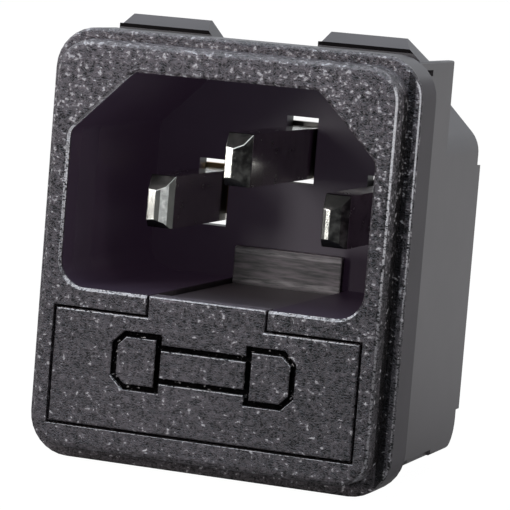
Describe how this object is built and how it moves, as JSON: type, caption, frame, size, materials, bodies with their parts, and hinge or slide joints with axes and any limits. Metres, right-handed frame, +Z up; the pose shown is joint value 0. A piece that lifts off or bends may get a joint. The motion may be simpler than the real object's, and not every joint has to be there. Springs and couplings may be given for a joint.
{
  "type": "power entry module",
  "caption": "Snap-in mains appliance inlet with earth blade above two power blades, over a pull-out drawer for cartridge fuses.",
  "frame": {"origin": "on the flat back of the flange, centred, 0.5 mm below the panel collar", "axes": "+X right seen from the front, +Y into the panel, +Z up towards the earth blade; the bezel faces -Y"},
  "size_m": [0.0286, 0.0284, 0.0336],
  "materials": {
    "housing_plastic": "fine spark-eroded grain on the bezel, smooth sides",
    "drawer_plastic": "fine spark-eroded grain",
    "blade_nickel": "bright nickel plate",
    "terminal_tin": "tinned brass sheet",
    "clip_bronze": "spring bronze sheet",
    "fuse_glass": "clear",
    "fuse_cap_nickel": "bright",
    "fuse_wire_metal": "plain"
  },
  "bodies": {
    "housing": {"housing": "housing_plastic", "line_pin": "blade_nickel", "neutral_pin": "blade_nickel", "earth_pin": "blade_nickel", "neutral_tab": "terminal_tin", "earth_tab": "terminal_tin", "fuse_clip_left": "clip_bronze", "fuse_clip_right": "clip_bronze"},
    "drawer": {"fuse_drawer": "drawer_plastic", "fuse_tube": "fuse_glass", "fuse_cap_left": "fuse_cap_nickel", "fuse_cap_right": "fuse_cap_nickel", "fuse_wire": "fuse_wire_metal", "spare_tube": "fuse_glass", "spare_cap_left": "fuse_cap_nickel", "spare_cap_right": "fuse_cap_nickel", "spare_wire": "fuse_wire_metal"}
  },
  "joints": [
    {"name": "drawer_slide", "type": "slide", "parent": "housing", "child": "drawer", "axis": [0, -1, 0], "range_m": [0, 0.017]}
  ]
}
